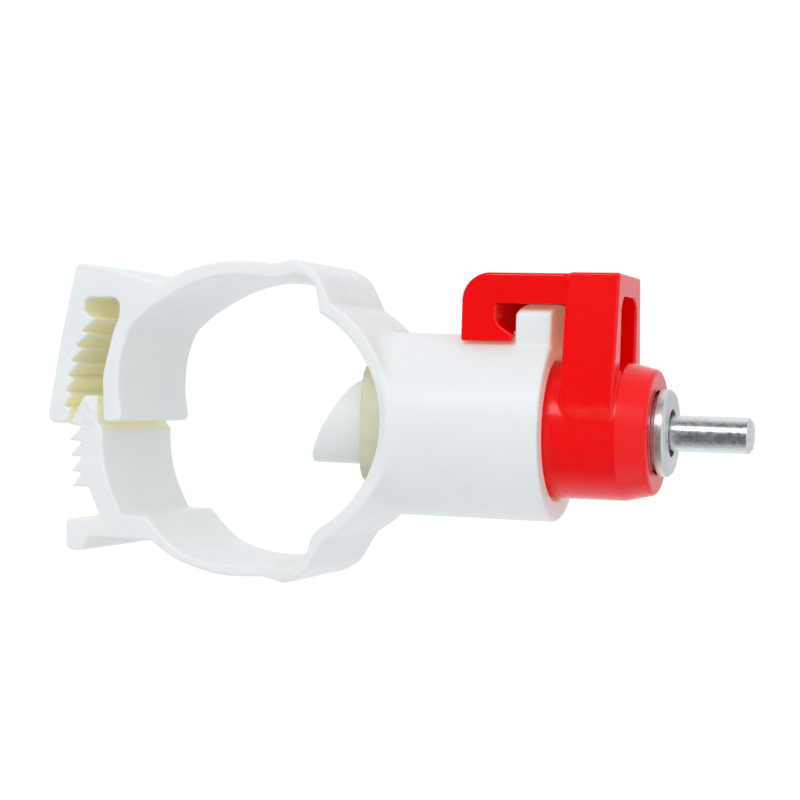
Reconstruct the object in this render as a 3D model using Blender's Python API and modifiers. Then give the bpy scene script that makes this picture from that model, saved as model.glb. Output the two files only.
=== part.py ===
"""Clip-on nipple drinker for a 25 mm water pipe: ratchet saddle, twist-lock nipple and steel valve.

Units are metres. +Z is up in use, the pipe runs along Y, and the origin is on the pipe's axis.
"""

import math

import bmesh
import bpy
from mathutils import Vector

MM = 0.001

# Pipe saddle
PIPE_RADIUS = 12.5 * MM
SADDLE_OUTER_RADIUS = 13.9 * MM
BAND_WIDTH = 17.4 * MM
HINGE_RADIUS = 0.72 * MM
HINGE_GAP = 0.3 * MM
UPPER_HINGE_X = 15.15 * MM
LOWER_HINGE_X = -15.40 * MM
HINGE_Z = 0.0

# Socket sleeve under the saddle
SLEEVE_RADIUS = 9.46 * MM
SLEEVE_END_Z = -29.04 * MM
SLEEVE_BORE_RADIUS = 7.3 * MM
SLEEVE_TOP_RADIUS = 13.3 * MM
WEB_BOTTOM_Z = -15.5 * MM
LUG_TOP_Z = -25.3 * MM
LUG_RADIUS = 12.65 * MM
LUG_NEAR_Y = -4.8 * MM
LUG_FAR_Y = 3.6 * MM

# Spigot that enters the pipe, and its gasket
SPIGOT_RADIUS = 4.4 * MM
SPIGOT_BORE_RADIUS = 2.8 * MM
SPIGOT_TIP_Z = -2.65 * MM
SPIGOT_HEEL_Z = -7.53 * MM
POCKET_RADIUS = 6.55 * MM
POCKET_FLOOR_Z = -13.0 * MM
GASKET_RADIUS = 6.25 * MM
GASKET_HOLE_RADIUS = 4.7 * MM
GASKET_TOP_Z = -8.2 * MM
GASKET_CURVE_RADIUS = 19.2 * MM
GASKET_CURVE_Z = 9.65 * MM
GASKET_BOTTOM_Z = -12.7 * MM

# Red nipple body
PLUG_RADIUS = 7.0 * MM
PLUG_TOP_Z = -16.0 * MM
PLUG_CHAMFER = 0.5 * MM
RING_GROOVE_RADIUS = 5.1 * MM
RING_GROOVE_TOP_Z = -19.0 * MM
RING_GROOVE_BOTTOM_Z = -21.2 * MM
HUB_END_Z = -36.2 * MM
NOSE_RADIUS = 6.3 * MM
NOSE_END_Z = -39.2 * MM
NOSE_ROUND = 0.4 * MM
VALVE_BORE_RADIUS = 4.2 * MM
VALVE_BORE_TOP_Z = -20.0 * MM
INLET_PORT_RADIUS = 1.8 * MM

# Lever tab and hook of the nipple body
TAB_TIP_X = 15.75 * MM
TAB_TIP_HALF_WIDTH = 4.95 * MM
TAB_ROOT_SINK = 0.12 * MM
TAB_TOP_Z = -30.5 * MM
TAB_BOTTOM_Z = -35.9 * MM
TAB_POCKET_HALF_WIDTH = 3.7 * MM
TAB_POCKET_TIP_X = 13.5 * MM
TAB_POCKET_TOP_Z = -32.0 * MM
TAB_POCKET_ROUND = 1.4 * MM
HOOK_HALF_WIDTH = 4.8 * MM
HOOK_END_Z = -19.6 * MM
HOOK_UNDERSIDE_RADIUS = 9.85 * MM
HOOK_WINDOW_RADIUS = 13.33 * MM
HOOK_WINDOW_CLEAR_RADIUS = 12.1 * MM
HOOK_WINDOW_X = 12.4 * MM
HOOK_WINDOW_END_Z = -23.3 * MM
HOOK_TOE_Z = -25.0 * MM
HOOK_TOE_X = 9.4 * MM
HOOK_ROUND = 2.9 * MM
HOOK_STOP_NEAR_Y = 3.9 * MM
HOOK_ROOT_SINK = 0.1 * MM

# Steel valve train
CASING_RADIUS = 3.9 * MM
CASING_TOP_Z = -30.4 * MM
CASING_MOUTH_RADIUS = 2.4 * MM
CASING_CHAMBER_RADIUS = 3.1 * MM
CASING_SHOULDER_Z = -36.0 * MM
FLANGE_RADIUS = 4.4 * MM
FLANGE_FACE_RADIUS = 4.1 * MM
FLANGE_TOP_Z = -39.5 * MM
FLANGE_EDGE_Z = -40.4 * MM
FLANGE_END_Z = -40.7 * MM
CASING_GROOVE_RADIUS = 3.2 * MM
CASING_GROOVE_TOP_Z = -36.9 * MM
CASING_GROOVE_BOTTOM_Z = -38.1 * MM
TRIGGER_RADIUS = 1.8 * MM
TRIGGER_END_Z = -48.7 * MM
TRIGGER_CHAMFER = 0.35 * MM
TRIGGER_HEAD_RADIUS = 2.6 * MM
TRIGGER_HEAD_TOP_Z = -34.2 * MM
TRIGGER_HEAD_BOTTOM_Z = -35.7 * MM
TRIGGER_PIVOT_Z = -34.95 * MM
METERING_PIN_RADIUS = 0.85 * MM
METERING_TIP_Z = -27.95 * MM
METERING_COLLAR_RADIUS = 2.3 * MM
METERING_COLLAR_TOP_Z = -31.9 * MM
METERING_COLLAR_BOTTOM_Z = -32.9 * MM
METERING_FOOT_Z = -33.9 * MM
METERING_FOOT_RADIUS = 1.0 * MM
BALL_RADIUS = 1.75 * MM
BALL_CENTRE_Z = -26.05 * MM
SEAT_TOP_Z = -26.9 * MM
SEAT_BOTTOM_Z = -29.0 * MM
SEAT_HOLE_RADIUS = 1.25 * MM
SEAT_CONE_RADIUS = 1.95 * MM
SEAT_CONE_DEPTH = 0.8 * MM
SEAL_TOP_Z = -29.3 * MM
SEAL_BOTTOM_Z = -30.1 * MM
SEAL_HOLE_RADIUS = 1.6 * MM
CAP_TOP_Z = -20.3 * MM
CAP_BOTTOM_Z = -26.6 * MM
CAP_CAVITY_RADIUS = 2.6 * MM
CAP_CAVITY_TOP_Z = -22.8 * MM
CAP_HOLE_RADIUS = 1.2 * MM

# Sealing rings
BODY_RING_MAJOR = 6.25 * MM
BODY_RING_MINOR = 0.8 * MM
BODY_RING_Z = -20.1 * MM
CASING_RING_MAJOR = 3.7 * MM
CASING_RING_MINOR = 0.38 * MM
CASING_RING_Z = -37.5 * MM

# Ratchet teeth
TONGUE_TOOTH_COUNT = 5
TONGUE_TOOTH_FIRST_X = -7.75 * MM
TONGUE_TOOTH_PITCH = 1.63 * MM
TONGUE_TOOTH_TIP_Z = 21.55 * MM
TONGUE_TOOTH_ROOT_Z = 20.6 * MM
TONGUE_TOOTH_RISE = 0.2 * MM
TONGUE_TOOTH_LEAN = 0.12 * MM
HOUSING_TOOTH_COUNT = 7
HOUSING_TOOTH_FIRST_X = 0.4 * MM
HOUSING_TOOTH_PITCH = 1.6 * MM
HOUSING_TOOTH_TIP_Z = 21.95 * MM
HOUSING_TOOTH_ROOT_Z = 22.75 * MM
HOUSING_TOOTH_DROP = 0.07 * MM
HOUSING_TOOTH_STEEP = 0.35 * MM

ARC_STEP = math.radians(8)
ROUND_STEPS = 40
SMALL_STEPS = 28
MERGE_DISTANCE = 0.000002

# Outlines in the XZ plane, in millimetres: x, z and the corner's radius.
UPPER_INNER_CORNERS = [
    (14.43, 0.0, 0.0),
    (15.05, 4.4, 9.0),
    (13.7, 9.1, 4.0),
    (11.3, 13.0, 0.6),
    (9.3, 15.4, 2.6),
    (6.0, 16.5, 7.0),
    (2.6, 16.6, 7.0),
    (-0.75, 16.0, 0.7),
    (-0.75, 18.2, 0.5),
    (4.2, 18.45, 6.0),
    (8.6, 17.4, 4.0),
    (10.3, 16.75, 0.5),
    (12.3, 16.7, 1.9),
    (12.25, 20.7, 1.9),
    (10.9, 20.75, 0.4),
]
UPPER_OUTER_CORNERS = [
    (-1.1, 24.8, 0.9),
    (8.0, 23.4, 8.0),
    (15.95, 21.8, 0.8),
    (15.2, 17.4, 6.0),
    (13.9, 11.9, 0.5),
    (15.3, 9.4, 4.0),
    (16.5, 4.4, 9.0),
    (15.87, 0.0, 0.0),
]
LOWER_INNER_CORNERS = [
    (-14.68, 0.0, 0.0),
    (-15.25, 4.5, 9.0),
    (-14.0, 9.4, 5.0),
    (-11.4, 12.1, 2.0),
    (-10.5, 12.9, 0.3),
    (-10.5, 15.7, 0.5),
    (-7.6, 17.25, 5.0),
    (-4.6, 18.1, 5.0),
    (-1.6, 18.25, 0.5),
    (-1.0, 18.8, 0.4),
    (1.9, 18.9, 0.6),
    (1.9, 20.5, 0.6),
]
LOWER_OUTER_CORNERS = [
    (-7.7, 19.7, 0.2),
    (-11.0, 18.2, 0.4),
    (-11.2, 22.15, 0.5),
    (-14.45, 22.15, 0.8),
    (-14.45, 20.2, 0.3),
    (-13.0, 19.7, 0.5),
    (-13.0, 12.3, 1.0),
    (-14.9, 9.5, 4.0),
    (-16.3, 4.6, 8.0),
    (-16.12, 0.0, 0.0),
]
SADDLE_UPPER_INNER_CORNERS = [
    (14.55, -1.4, 0.0),
    (15.1, -3.1, 1.0),
    (14.3, -4.95, 1.0),
    (12.6, -5.5, 1.5),
    (11.12, -5.71, 0.0),
]
SADDLE_LOWER_INNER_CORNERS = [
    (-10.62, -6.59, 0.0),
    (-11.4, -5.7, 0.8),
    (-14.2, -4.8, 1.2),
    (-15.2, -3.1, 1.0),
    (-14.8, -1.4, 0.0),
]
SADDLE_LOWER_OUTER_CORNERS = [
    (-16.2, -0.95, 0.0),
    (-16.7, -3.0, 1.6),
    (-15.3, -5.1, 3.0),
    (-13.1, -6.3, 0.8),
    (-12.04, -6.95, 0.0),
]
SADDLE_UPPER_OUTER_CORNERS = [
    (12.04, -6.95, 0.0),
    (13.0, -6.5, 0.8),
    (15.35, -5.2, 3.0),
    (16.6, -2.9, 1.6),
    (16.0, -0.95, 0.0),
]
SADDLE_ARC_UPPER_ANGLE = math.radians(62.8)
SADDLE_ARC_LOWER_ANGLE = math.radians(58.2)
SADDLE_OUTER_ANGLE = math.radians(60.0)


def reset_scene():
    for old in list(bpy.data.objects):
        bpy.data.objects.remove(old, do_unlink=True)
    parts = bpy.data.collections.new("clip_on_nipple_drinker")
    cutters = bpy.data.collections.new("cutters")
    bpy.context.scene.collection.children.link(parts)
    bpy.context.scene.collection.children.link(cutters)
    return parts, cutters


PARTS, CUTTERS = reset_scene()


def make_material(name, colour, roughness, metallic):
    material = bpy.data.materials.new(name)
    material.use_nodes = True
    shader = material.node_tree.nodes["Principled BSDF"]
    shader.inputs["Base Color"].default_value = (*colour, 1.0)
    shader.inputs["Roughness"].default_value = roughness
    shader.inputs["Metallic"].default_value = metallic
    return material


def arc_points(centre, radius, start, end):
    """Points of an arc; angles are measured from -Z towards +X."""
    count = max(2, int(math.ceil(abs(end - start) / math.radians(6))))
    points = []
    for index in range(count + 1):
        angle = start + (end - start) * index / count
        x = centre[0] + radius * math.sin(angle)
        z = centre[1] - radius * math.cos(angle)
        points.append((x, z))
    return points


def round_corner(before, corner, after, radius):
    """Replace one corner by an arc that is tangent to both of its sides."""
    corner = Vector(corner)
    to_before = (Vector(before) - corner)
    to_after = (Vector(after) - corner)
    first = to_before.normalized()
    second = to_after.normalized()
    angle = first.angle(second)
    turn = math.pi - angle
    if radius <= 0.0 or turn < math.radians(1):
        return [tuple(corner)]
    reach = radius / math.tan(angle / 2)
    limit = 0.49 * min(to_before.length, to_after.length)
    if reach > limit:
        reach = limit
        radius = reach * math.tan(angle / 2)
    centre = corner + (first + second).normalized() * (radius / math.sin(angle / 2))
    start = corner + first * reach - centre
    end = corner + second * reach - centre
    count = max(1, int(math.ceil(turn / ARC_STEP)))
    sweep = start.angle_signed(end)
    points = []
    for index in range(count + 1):
        step = -sweep * index / count
        x = start.x * math.cos(step) - start.y * math.sin(step)
        z = start.x * math.sin(step) + start.y * math.cos(step)
        points.append((centre.x + x, centre.y + z))
    return points


def round_path(corners):
    """Turn corners given as x, z and radius into points; the two ends stay sharp."""
    points = [corners[0][:2]]
    for before, corner, after in zip(corners, corners[1:], corners[2:]):
        points += round_corner(before[:2], corner[:2], after[:2], corner[2])
    points.append(corners[-1][:2])
    return points


def in_metres(corners):
    return [tuple(value * MM for value in corner) for corner in corners]


def link(name, mesh, collection):
    obj = bpy.data.objects.new(name, mesh)
    collection.objects.link(obj)
    return obj


def as_cutter(obj):
    for collection in list(obj.users_collection):
        collection.objects.unlink(obj)
    CUTTERS.objects.link(obj)
    obj.hide_render = True
    obj.display_type = "WIRE"
    return obj


def face_outward(form):
    """Weld close points and turn every face outward."""
    bmesh.ops.remove_doubles(form, verts=form.verts, dist=MERGE_DISTANCE)
    bmesh.ops.recalc_face_normals(form, faces=form.faces)
    if form.calc_volume(signed=True) < 0.0:
        bmesh.ops.reverse_faces(form, faces=form.faces)


def extrude_outline(name, points, half_depth, upright=True):
    """Make a flat plate from an outline; upright puts it in the XZ plane, else in the XY plane."""
    curve = bpy.data.curves.new(name, "CURVE")
    curve.dimensions = "2D"
    curve.fill_mode = "BOTH"
    curve.extrude = half_depth
    spline = curve.splines.new("POLY")
    spline.points.add(len(points) - 1)
    for point, place in zip(spline.points, points):
        point.co = (place[0], place[1], 0.0, 1.0)
    spline.use_cyclic_u = True
    drawing = bpy.data.objects.new(name + "_drawing", curve)
    CUTTERS.objects.link(drawing)
    bpy.context.view_layer.update()
    graph = bpy.context.evaluated_depsgraph_get()
    mesh = bpy.data.meshes.new_from_object(drawing.evaluated_get(graph))
    bpy.data.objects.remove(drawing, do_unlink=True)
    form = bmesh.new()
    form.from_mesh(mesh)
    if upright:
        for vert in form.verts:
            vert.co = Vector((vert.co.x, -vert.co.z, vert.co.y))
    face_outward(form)
    form.to_mesh(mesh)
    form.free()
    return link(name, mesh, PARTS)


def revolve(name, profile, steps, closed=True):
    """Turn a profile of radius and z about the Z axis."""
    mesh = bpy.data.meshes.new(name)
    verts = [(radius, 0.0, z) for radius, z in profile]
    edges = [(index, index + 1) for index in range(len(verts) - 1)]
    if closed:
        edges.append((len(verts) - 1, 0))
    mesh.from_pydata(verts, edges, [])
    obj = link(name, mesh, PARTS)
    screw = obj.modifiers.new("turn", "SCREW")
    screw.axis = "Z"
    screw.angle = math.tau
    screw.steps = steps
    screw.render_steps = steps
    screw.use_merge_vertices = True
    screw.merge_threshold = MERGE_DISTANCE
    screw.use_smooth_shade = True
    return obj


def bake(obj):
    """Replace an object's mesh by its evaluated shape with outward faces."""
    bpy.context.view_layer.update()
    graph = bpy.context.evaluated_depsgraph_get()
    mesh = bpy.data.meshes.new_from_object(obj.evaluated_get(graph))
    obj.modifiers.clear()
    form = bmesh.new()
    form.from_mesh(mesh)
    face_outward(form)
    form.to_mesh(mesh)
    form.free()
    obj.data = mesh
    return obj


def combine(obj, other, operation):
    """Join, cut or trim an object with another and bake the result."""
    bake(other)
    as_cutter(other)
    boolean = obj.modifiers.new(operation.lower(), "BOOLEAN")
    boolean.operation = operation
    boolean.solver = "EXACT"
    boolean.object = other
    bake(obj)
    return obj


def cylinder(name, radius, top, bottom, steps=ROUND_STEPS):
    profile = [(0.0, top), (radius, top), (radius, bottom), (0.0, bottom)]
    return bake(revolve(name, profile, steps, closed=False))


def tube(name, inner, outer, top, bottom, steps=ROUND_STEPS):
    profile = [(inner, top), (outer, top), (outer, bottom), (inner, bottom)]
    return bake(revolve(name, profile, steps))


def move_origin(obj, place):
    """Put an object's origin on its joint axis and leave its shape where it is."""
    shift = Vector(place)
    for vert in obj.data.vertices:
        vert.co = vert.co - shift
    obj.location = shift


def smooth_by_angle(obj, degrees):
    form = bmesh.new()
    form.from_mesh(obj.data)
    for face in form.faces:
        face.smooth = True
    for edge in form.edges:
        if len(edge.link_faces) == 2:
            edge.smooth = edge.calc_face_angle(0.0) < math.radians(degrees)
    form.to_mesh(obj.data)
    form.free()


def finish_part(obj, material):
    obj.data.materials.clear()
    obj.data.materials.append(material)
    smooth_by_angle(obj, 35)


def saddle_outline():
    """Pipe arc with the two jogs that lead up to the living hinges."""
    upper_inner = round_path(in_metres(SADDLE_UPPER_INNER_CORNERS))
    lower_inner = round_path(in_metres(SADDLE_LOWER_INNER_CORNERS))
    lower_outer = round_path(in_metres(SADDLE_LOWER_OUTER_CORNERS))
    upper_outer = round_path(in_metres(SADDLE_UPPER_OUTER_CORNERS))
    centre = (0.0, 0.0)
    pipe_arc = arc_points(centre, PIPE_RADIUS, SADDLE_ARC_UPPER_ANGLE, -SADDLE_ARC_LOWER_ANGLE)
    outer_arc = arc_points(centre, SADDLE_OUTER_RADIUS, -SADDLE_OUTER_ANGLE, SADDLE_OUTER_ANGLE)
    inner = upper_inner[:-1] + pipe_arc + lower_inner[1:]
    return inner + lower_outer[:-1] + outer_arc + upper_outer[1:]


def hinge_seat(name, hinge_x):
    """Cutter that leaves a round seat for a jaw's hinge edge."""
    centre = (hinge_x, HINGE_Z)
    radius = HINGE_RADIUS + HINGE_GAP
    circle = arc_points(centre, radius, 0.0, math.tau)[:-1]
    return extrude_outline(name, circle, BAND_WIDTH)


def build_saddle_socket(material):
    saddle = extrude_outline("saddle_socket", saddle_outline(), BAND_WIDTH / 2)
    combine(saddle, hinge_seat("upper_hinge_seat", UPPER_HINGE_X), "DIFFERENCE")
    combine(saddle, hinge_seat("lower_hinge_seat", LOWER_HINGE_X), "DIFFERENCE")
    sleeve = cylinder("sleeve", SLEEVE_RADIUS, 0.0, SLEEVE_END_Z)
    pipe_circle = arc_points((0.0, 0.0), SLEEVE_TOP_RADIUS, 0.0, math.tau)[:-1]
    combine(sleeve, extrude_outline("pipe_space", pipe_circle, BAND_WIDTH), "DIFFERENCE")
    combine(saddle, sleeve, "UNION")
    combine(saddle, build_lug(), "UNION")
    pocket = cylinder("gasket_pocket", POCKET_RADIUS, 0.0, POCKET_FLOOR_Z)
    combine(saddle, pocket, "DIFFERENCE")
    combine(saddle, build_spigot(), "UNION")
    bore = cylinder("sleeve_bore", SLEEVE_BORE_RADIUS, WEB_BOTTOM_Z, SLEEVE_END_Z * 1.1)
    combine(saddle, bore, "DIFFERENCE")
    channel = cylinder("spigot_channel", SPIGOT_BORE_RADIUS, 0.0, WEB_BOTTOM_Z * 1.1, SMALL_STEPS)
    combine(saddle, channel, "DIFFERENCE")
    finish_part(saddle, material)
    return saddle


def build_lug():
    """Bayonet lug: a block on the sleeve with an outside face round the nipple's axis."""
    near = math.asin(LUG_NEAR_Y / LUG_RADIUS)
    far = math.asin(LUG_FAR_Y / LUG_RADIUS)
    root = SLEEVE_RADIUS * 0.84
    points = [(root, LUG_NEAR_Y)]
    steps = 6
    for index in range(steps + 1):
        angle = near + (far - near) * index / steps
        points.append((LUG_RADIUS * math.cos(angle), LUG_RADIUS * math.sin(angle)))
    points.append((root, LUG_FAR_Y))
    lug = extrude_outline("lug", points, (LUG_TOP_Z - SLEEVE_END_Z) / 2, upright=False)
    for vert in lug.data.vertices:
        vert.co.z += (LUG_TOP_Z + SLEEVE_END_Z) / 2
    return lug


def build_spigot():
    """Tube cut off at a slant so that it can't lie flat against the pipe's far wall."""
    spigot = cylinder("spigot", SPIGOT_RADIUS, 0.0, (POCKET_FLOOR_Z + WEB_BOTTOM_Z) / 2)
    slope = (SPIGOT_HEEL_Z - SPIGOT_TIP_Z) / (2 * SPIGOT_RADIUS)
    reach = 2 * SPIGOT_RADIUS
    middle_z = (SPIGOT_HEEL_Z + SPIGOT_TIP_Z) / 2
    wedge = [
        (-reach, middle_z - slope * reach),
        (reach, middle_z + slope * reach),
        (reach, reach),
        (-reach, reach),
    ]
    combine(spigot, extrude_outline("slant", wedge, reach), "DIFFERENCE")
    return spigot


def housing_teeth():
    """Saw teeth inside the housing, from the blind end to the mouth; steep sides face +X."""
    points = []
    for index in reversed(range(HOUSING_TOOTH_COUNT)):
        drop = HOUSING_TOOTH_DROP * index * index
        tip_x = HOUSING_TOOTH_FIRST_X + HOUSING_TOOTH_PITCH * index
        points.append((tip_x + HOUSING_TOOTH_STEEP, HOUSING_TOOTH_ROOT_Z - drop))
        points.append((tip_x, HOUSING_TOOTH_TIP_Z - drop))
    return points


def tongue_teeth():
    """Saw teeth on the tongue, from its tip towards the pad; steep sides face -X."""
    points = []
    for index in reversed(range(TONGUE_TOOTH_COUNT)):
        rise = TONGUE_TOOTH_RISE * min(index, 3)
        tip_x = TONGUE_TOOTH_FIRST_X + TONGUE_TOOTH_PITCH * index
        points.append((tip_x, TONGUE_TOOTH_TIP_Z + rise))
        points.append((tip_x - TONGUE_TOOTH_LEAN, TONGUE_TOOTH_ROOT_Z))
    return points[:-1]


def hinge_edge(hinge_x, start, end):
    """Round lower edge of a jaw; it turns inside the saddle's seat."""
    return arc_points((hinge_x, HINGE_Z), HINGE_RADIUS, start, end)


def build_upper_jaw(material):
    inner = round_path(in_metres(UPPER_INNER_CORNERS))
    outer = round_path([(-1.1 * MM, 22.45 * MM, 0.0)] + in_metres(UPPER_OUTER_CORNERS))
    edge = hinge_edge(UPPER_HINGE_X, math.radians(90), math.radians(-90))
    points = inner[1:] + housing_teeth() + outer[:-1] + edge
    jaw = extrude_outline("upper_jaw", points, BAND_WIDTH / 2)
    finish_part(jaw, material)
    move_origin(jaw, (UPPER_HINGE_X, 0.0, HINGE_Z))
    return jaw


def build_lower_jaw(material):
    inner = round_path(in_metres(LOWER_INNER_CORNERS))
    outer = round_path(in_metres(LOWER_OUTER_CORNERS))
    edge = hinge_edge(LOWER_HINGE_X, math.radians(-90), math.radians(90))
    points = inner[1:] + tongue_teeth() + outer[:-1] + edge
    jaw = extrude_outline("lower_jaw", points, BAND_WIDTH / 2)
    finish_part(jaw, material)
    move_origin(jaw, (LOWER_HINGE_X, 0.0, HINGE_Z))
    return jaw


def build_pipe_gasket(material):
    """Ring whose top is hollowed across the pipe so that it beds against the wall."""
    gasket = tube("pipe_gasket", GASKET_HOLE_RADIUS, GASKET_RADIUS, GASKET_TOP_Z, GASKET_BOTTOM_Z)
    circle = arc_points((0.0, GASKET_CURVE_Z), GASKET_CURVE_RADIUS, 0.0, math.tau)[:-1]
    combine(gasket, extrude_outline("pipe_curve", circle, BAND_WIDTH), "DIFFERENCE")
    finish_part(gasket, material)
    return gasket


def build_tab():
    """Lever tab: its sides run from tangents of the hub to a narrower tip."""
    lean = math.asin((PLUG_RADIUS - TAB_TIP_HALF_WIDTH) / TAB_TIP_X)
    root_x = PLUG_RADIUS * math.sin(lean)
    root_y = PLUG_RADIUS * math.cos(lean) - TAB_ROOT_SINK
    points = [
        (0.0, root_y - TAB_ROOT_SINK),
        (0.0, TAB_ROOT_SINK - root_y),
        (root_x, -root_y),
        (TAB_TIP_X, -TAB_TIP_HALF_WIDTH),
        (TAB_TIP_X, TAB_TIP_HALF_WIDTH),
        (root_x, root_y),
    ]
    half = (TAB_TOP_Z - TAB_BOTTOM_Z) / 2
    tab = extrude_outline("tab", points, half, upright=False)
    for vert in tab.data.vertices:
        vert.co.z += (TAB_TOP_Z + TAB_BOTTOM_Z) / 2
    corners = [
        (0.0, -TAB_POCKET_HALF_WIDTH, 0.0),
        (TAB_POCKET_TIP_X, -TAB_POCKET_HALF_WIDTH, TAB_POCKET_ROUND),
        (TAB_POCKET_TIP_X, TAB_POCKET_HALF_WIDTH, TAB_POCKET_ROUND),
        (0.0, TAB_POCKET_HALF_WIDTH, 0.0),
    ]
    depth = TAB_POCKET_TOP_Z - TAB_BOTTOM_Z
    pocket = extrude_outline("tab_pocket", round_path(corners), depth, upright=False)
    for vert in pocket.data.vertices:
        vert.co.z += TAB_BOTTOM_Z
    combine(tab, pocket, "DIFFERENCE")
    return tab


def build_hook():
    """Arm that reaches up beside the sleeve, with a window for the lug and a stop wall behind it."""
    root_z = (TAB_TOP_Z + TAB_POCKET_TOP_Z) / 2
    low_x = SLEEVE_RADIUS * 0.7
    corners = [
        (TAB_TIP_X - 0.1 * MM, root_z, 0.0),
        (TAB_TIP_X - 0.1 * MM, HOOK_END_Z, HOOK_ROUND),
        (low_x, HOOK_END_Z, 0.0),
        (low_x, HOOK_TOE_Z, 0.0),
        (HOOK_TOE_X, HOOK_TOE_Z, 0.3 * MM),
        (HOOK_WINDOW_X * 0.86, HOOK_WINDOW_END_Z, 1.2 * MM),
        (HOOK_WINDOW_X, HOOK_WINDOW_END_Z, 0.3 * MM),
        (HOOK_WINDOW_X, root_z, 0.0),
    ]
    hook = extrude_outline("hook", round_path(corners), HOOK_HALF_WIDTH)
    wall_points = [
        (low_x, HOOK_WINDOW_END_Z * 0.98),
        (HOOK_WINDOW_X * 1.12, HOOK_WINDOW_END_Z * 0.98),
        (HOOK_WINDOW_X * 1.12, root_z * 0.99),
        (low_x, root_z * 0.99),
    ]
    wall_half = (HOOK_HALF_WIDTH - HOOK_STOP_NEAR_Y) / 2
    wall = extrude_outline("stop_wall", wall_points, wall_half)
    for vert in wall.data.vertices:
        vert.co.y += HOOK_HALF_WIDTH - wall_half - 0.02 * MM
    cut = tube(
        "lug_path",
        HOOK_WINDOW_CLEAR_RADIUS,
        HOOK_WINDOW_RADIUS,
        HOOK_WINDOW_END_Z - HOOK_ROOT_SINK,
        TAB_TOP_Z - HOOK_ROOT_SINK,
    )
    combine(hook, cut, "DIFFERENCE")
    combine(hook, wall, "UNION")
    clear_end = TAB_TOP_Z - HOOK_ROOT_SINK
    clear = cylinder("sleeve_clearance", HOOK_UNDERSIDE_RADIUS, 0.0, clear_end)
    combine(hook, clear, "DIFFERENCE")
    return hook


def build_nipple_body(material):
    profile = [
        (INLET_PORT_RADIUS, PLUG_TOP_Z),
        (PLUG_RADIUS - PLUG_CHAMFER, PLUG_TOP_Z),
        (PLUG_RADIUS, PLUG_TOP_Z - PLUG_CHAMFER),
        (PLUG_RADIUS, RING_GROOVE_TOP_Z),
        (RING_GROOVE_RADIUS, RING_GROOVE_TOP_Z),
        (RING_GROOVE_RADIUS, RING_GROOVE_BOTTOM_Z),
        (PLUG_RADIUS, RING_GROOVE_BOTTOM_Z),
        (PLUG_RADIUS, HUB_END_Z),
        (NOSE_RADIUS, NOSE_END_Z + NOSE_ROUND),
        (NOSE_RADIUS - NOSE_ROUND, NOSE_END_Z),
        (VALVE_BORE_RADIUS, NOSE_END_Z),
        (VALVE_BORE_RADIUS, VALVE_BORE_TOP_Z),
        (INLET_PORT_RADIUS, VALVE_BORE_TOP_Z),
    ]
    lever = build_tab()
    combine(lever, build_hook(), "UNION")
    core = cylinder("hub_core", PLUG_RADIUS * 0.8, PLUG_TOP_Z, NOSE_END_Z * 1.1)
    combine(lever, core, "DIFFERENCE")
    body = bake(revolve("nipple_body", profile, ROUND_STEPS))
    combine(body, lever, "UNION")
    finish_part(body, material)
    return body


def build_valve_casing(material):
    profile = [
        (CASING_CHAMBER_RADIUS, CASING_TOP_Z),
        (CASING_RADIUS, CASING_TOP_Z),
        (CASING_RADIUS, CASING_GROOVE_TOP_Z),
        (CASING_GROOVE_RADIUS, CASING_GROOVE_TOP_Z),
        (CASING_GROOVE_RADIUS, CASING_GROOVE_BOTTOM_Z),
        (CASING_RADIUS, CASING_GROOVE_BOTTOM_Z),
        (CASING_RADIUS, FLANGE_TOP_Z),
        (FLANGE_RADIUS, FLANGE_TOP_Z),
        (FLANGE_RADIUS, FLANGE_EDGE_Z),
        (FLANGE_FACE_RADIUS, FLANGE_END_Z),
        (CASING_MOUTH_RADIUS, FLANGE_END_Z),
        (CASING_MOUTH_RADIUS, CASING_SHOULDER_Z),
        (CASING_CHAMBER_RADIUS, CASING_SHOULDER_Z),
    ]
    casing = bake(revolve("valve_casing", profile, ROUND_STEPS))
    finish_part(casing, material)
    return casing


def build_trigger_pin(material):
    profile = [
        (0.0, TRIGGER_HEAD_TOP_Z),
        (TRIGGER_HEAD_RADIUS - TRIGGER_CHAMFER, TRIGGER_HEAD_TOP_Z),
        (TRIGGER_HEAD_RADIUS, TRIGGER_HEAD_TOP_Z - TRIGGER_CHAMFER),
        (TRIGGER_HEAD_RADIUS, TRIGGER_HEAD_BOTTOM_Z),
        (TRIGGER_RADIUS, TRIGGER_HEAD_BOTTOM_Z),
        (TRIGGER_RADIUS, TRIGGER_END_Z + TRIGGER_CHAMFER),
        (TRIGGER_RADIUS - TRIGGER_CHAMFER, TRIGGER_END_Z),
        (0.0, TRIGGER_END_Z),
    ]
    pin = bake(revolve("trigger_pin", profile, SMALL_STEPS, closed=False))
    finish_part(pin, material)
    move_origin(pin, (0.0, 0.0, TRIGGER_PIVOT_Z))
    return pin


def build_metering_pin(material):
    foot_top = METERING_FOOT_Z + METERING_FOOT_RADIUS
    profile = [
        (0.0, METERING_TIP_Z),
        (METERING_PIN_RADIUS * 0.6, METERING_TIP_Z),
        (METERING_PIN_RADIUS, METERING_TIP_Z - METERING_PIN_RADIUS * 0.4),
        (METERING_PIN_RADIUS, METERING_COLLAR_TOP_Z),
        (METERING_COLLAR_RADIUS, METERING_COLLAR_TOP_Z),
        (METERING_COLLAR_RADIUS, METERING_COLLAR_BOTTOM_Z),
    ]
    steps = 4
    for index in range(steps + 1):
        angle = math.pi / 2 * index / steps
        radius = METERING_FOOT_RADIUS * math.cos(angle)
        profile.append((radius, foot_top - METERING_FOOT_RADIUS * math.sin(angle)))
    profile[-1] = (0.0, METERING_FOOT_Z)
    pin = bake(revolve("metering_pin", profile, SMALL_STEPS, closed=False))
    finish_part(pin, material)
    return pin


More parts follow.
